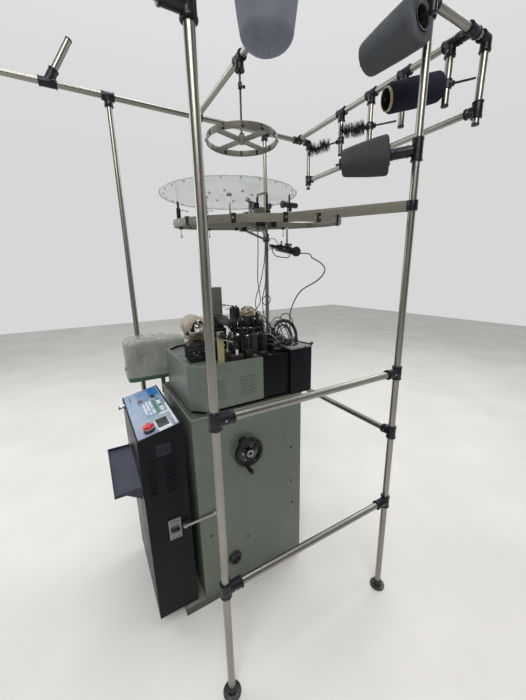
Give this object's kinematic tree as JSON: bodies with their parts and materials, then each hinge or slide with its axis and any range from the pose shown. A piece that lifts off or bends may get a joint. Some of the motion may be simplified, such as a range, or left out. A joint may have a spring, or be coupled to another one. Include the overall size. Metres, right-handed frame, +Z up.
{
  "type": "circular knitting machine",
  "caption": "Floor-standing circular knitting machine with sheet-metal cabinet, needle cylinder head, swing-out control box, handwheel and tube creel.",
  "frame": {"origin": "centre of the plinth's underside, on the floor", "axes": "+Z up, -Y the operator's side with the control box, +X the side with the handwheel"},
  "size_m": [1.099, 1.678, 2.3938],
  "materials": {
    "plinth": "satin",
    "cabinet_shell": "satin",
    "top_rim": "satin",
    "head_guard": "satin",
    "rear_guard": "satin",
    "head_bed": "oiled",
    "valve_box": "matte",
    "side_screws": "brushed",
    "inlet_plug": "matte",
    "hinge_brackets": "satin",
    "drive_frame": "matte",
    "drive_motor": "satin",
    "motor_pulley": "satin",
    "drive_belt": "matte",
    "main_shaft": "satin",
    "fabric_tube": "satin",
    "wheel_bearing": "satin",
    "handwheel": "satin black",
    "wheel_knob": "gloss",
    "needle_cylinder": "polished",
    "cam_ring": "oiled",
    "dial": "satin",
    "dial_bridge": "oiled",
    "tower_column": "satin",
    "stepper_block": "satin",
    "blower_cover": "satin",
    "air_fittings": "polished",
    "mount_bracket": "satin",
    "adjust_knob": "satin",
    "tube_manifold": "matte",
    "control_box": "satin",
    "panel_plate": "satin",
    "estop_button": "gloss",
    "push_black": "satin",
    "push_tan": "satin",
    "key_switch": "polished",
    "breaker_toggle": "satin",
    "front_tray": "satin",
    "hook_catch": "satin",
    "hood_tray": "satin",
    "hood": "smoked, translucent",
    "creel_posts": "polished tube",
    "creel_tubes": "polished tube",
    "top_loop": "polished tube",
    "tube_joiners": "satin",
    "loop_joiners": "satin",
    "post_feet": "matte",
    "cone_pegs": "matte",
    "cone_black": "wound yarn",
    "cone_charcoal": "wound yarn",
    "cone_dark": "wound yarn",
    "cone_grey": "wound yarn",
    "guide_hoop": "dull zinc",
    "guide_disc": "clear acrylic",
    "yarn_ring": "dull zinc",
    "feeder_body": "satin",
    "feeder_roller": "satin",
    "feeder_cable": "matte",
    "post_cable": "matte",
    "air_conduit": "satin"
  },
  "bodies": {
    "machine": {"plinth": "plinth", "cabinet_shell": "cabinet_shell", "top_rim": "top_rim", "head_guard": "head_guard", "rear_guard": "rear_guard", "head_bed": "head_bed", "valve_box": "valve_box", "side_screws": "side_screws", "inlet_plug": "inlet_plug", "hinge_brackets": "hinge_brackets", "drive_frame": "drive_frame", "drive_motor": "drive_motor", "drive_belt": "drive_belt", "fabric_tube": "fabric_tube", "wheel_bearing": "wheel_bearing", "cam_ring": "cam_ring", "dial_bridge": "dial_bridge", "tower_column": "tower_column", "stepper_block": "stepper_block", "blower_cover": "blower_cover", "air_fittings": "air_fittings", "mount_bracket": "mount_bracket", "tube_manifold": "tube_manifold", "hood_tray": "hood_tray", "creel_posts": "creel_posts", "creel_tubes": "creel_tubes", "top_loop": "top_loop", "tube_joiners": "tube_joiners", "loop_joiners": "loop_joiners", "post_feet": "post_feet", "cone_pegs": "cone_pegs", "cone_black": "cone_black", "cone_charcoal": "cone_charcoal", "cone_dark": "cone_dark", "cone_grey": "cone_grey", "guide_hoop": "guide_hoop", "guide_disc": "guide_disc", "yarn_ring": "yarn_ring", "feeder_body": "feeder_body", "feeder_cable": "feeder_cable", "post_cable": "post_cable", "air_conduit": "air_conduit"},
    "main_rotor": {"main_shaft": "main_shaft"},
    "motor_rotor": {"motor_pulley": "motor_pulley"},
    "wheel_rotor": {"handwheel": "handwheel"},
    "wheel_knob_body": {"wheel_knob": "wheel_knob"},
    "cylinder_rotor": {"needle_cylinder": "needle_cylinder"},
    "dial_rotor": {"dial": "dial"},
    "adjust_knob_body": {"adjust_knob": "adjust_knob"},
    "control_unit": {"control_box": "control_box", "panel_plate": "panel_plate", "front_tray": "front_tray"},
    "estop_body": {"estop_button": "estop_button"},
    "push_black_body": {"push_black": "push_black"},
    "push_tan_body": {"push_tan": "push_tan"},
    "key_body": {"key_switch": "key_switch"},
    "toggle_body": {"breaker_toggle": "breaker_toggle"},
    "hook_body": {"hook_catch": "hook_catch"},
    "hood_body": {"hood": "hood"},
    "roller_body": {"feeder_roller": "feeder_roller"}
  },
  "joints": [
    {"name": "main_shaft_spin", "type": "hinge", "parent": "machine", "child": "main_rotor", "pos_m": [0.061, 0.013, 0.7], "axis": [0, 0, 1], "continuous": true},
    {"name": "motor_pulley_spin", "type": "hinge", "parent": "machine", "child": "motor_rotor", "pos_m": [-0.11, -0.06, 0.53], "axis": [0, 0, 1], "continuous": true},
    {"name": "handwheel_spin", "type": "hinge", "parent": "machine", "child": "wheel_rotor", "pos_m": [0.268, 0.013, 0.718], "axis": [1, 0, 0], "continuous": true},
    {"name": "wheel_knob_spin", "type": "hinge", "parent": "wheel_rotor", "child": "wheel_knob_body", "pos_m": [0.29, -0.00492, 0.66284], "axis": [1, 0, 0], "continuous": true},
    {"name": "needle_cylinder_spin", "type": "hinge", "parent": "machine", "child": "cylinder_rotor", "pos_m": [0.061, 0.127, 1.1], "axis": [0, 0, 1], "continuous": true},
    {"name": "dial_spin", "type": "hinge", "parent": "machine", "child": "dial_rotor", "pos_m": [0.061, 0.127, 1.23], "axis": [0, 0, 1], "continuous": true},
    {"name": "adjust_knob_spin", "type": "hinge", "parent": "machine", "child": "adjust_knob_body", "pos_m": [0.225, -0.066, 1.222], "axis": [1, 0, 0], "continuous": true},
    {"name": "control_unit_swing", "type": "hinge", "parent": "machine", "child": "control_unit", "pos_m": [-0.236, -0.229, 0.45], "axis": [0, 0, 1], "range_deg": [-60, 0]},
    {"name": "estop_press", "type": "slide", "parent": "control_unit", "child": "estop_body", "axis": [0, 0.2096, -0.9778], "range_m": [0, 0.004], "stiffness_N_per_m": 700, "springref_m": -0.003},
    {"name": "black_button_press", "type": "slide", "parent": "control_unit", "child": "push_black_body", "axis": [0, 0.2096, -0.9778], "range_m": [0, 0.003], "stiffness_N_per_m": 400, "springref_m": -0.002},
    {"name": "tan_button_press", "type": "slide", "parent": "control_unit", "child": "push_tan_body", "axis": [0, 0.2096, -0.9778], "range_m": [0, 0.003], "stiffness_N_per_m": 400, "springref_m": -0.002},
    {"name": "key_switch_turn", "type": "hinge", "parent": "control_unit", "child": "key_body", "pos_m": [-0.165, -0.415, 0.86], "axis": [0, -1, 0], "range_deg": [0, 90]},
    {"name": "breaker_flip", "type": "hinge", "parent": "control_unit", "child": "toggle_body", "pos_m": [0.237, -0.311, 0.464], "axis": [0, 1, 0], "range_deg": [0, 50]},
    {"name": "hook_lift", "type": "hinge", "parent": "control_unit", "child": "hook_body", "pos_m": [0.249, -0.273, 0.472], "axis": [1, 0, 0], "range_deg": [0, 100]},
    {"name": "hood_lift", "type": "hinge", "parent": "machine", "child": "hood_body", "pos_m": [-0.324, -0.066, 0.962], "axis": [1, 0, 0], "range_deg": [-80, 0]},
    {"name": "feeder_roller_spin", "type": "hinge", "parent": "machine", "child": "roller_body", "pos_m": [0.076, 0.38888, 1.5404], "axis": [1, 0, 0], "continuous": true}
  ],
  "couplings": [
    {"joint": "motor_pulley_spin", "follows": "main_shaft_spin", "ratio": 1.3333},
    {"joint": "handwheel_spin", "follows": "main_shaft_spin", "ratio": -1},
    {"joint": "needle_cylinder_spin", "follows": "main_shaft_spin", "ratio": -0.4125},
    {"joint": "dial_spin", "follows": "main_shaft_spin", "ratio": -0.4125}
  ]
}
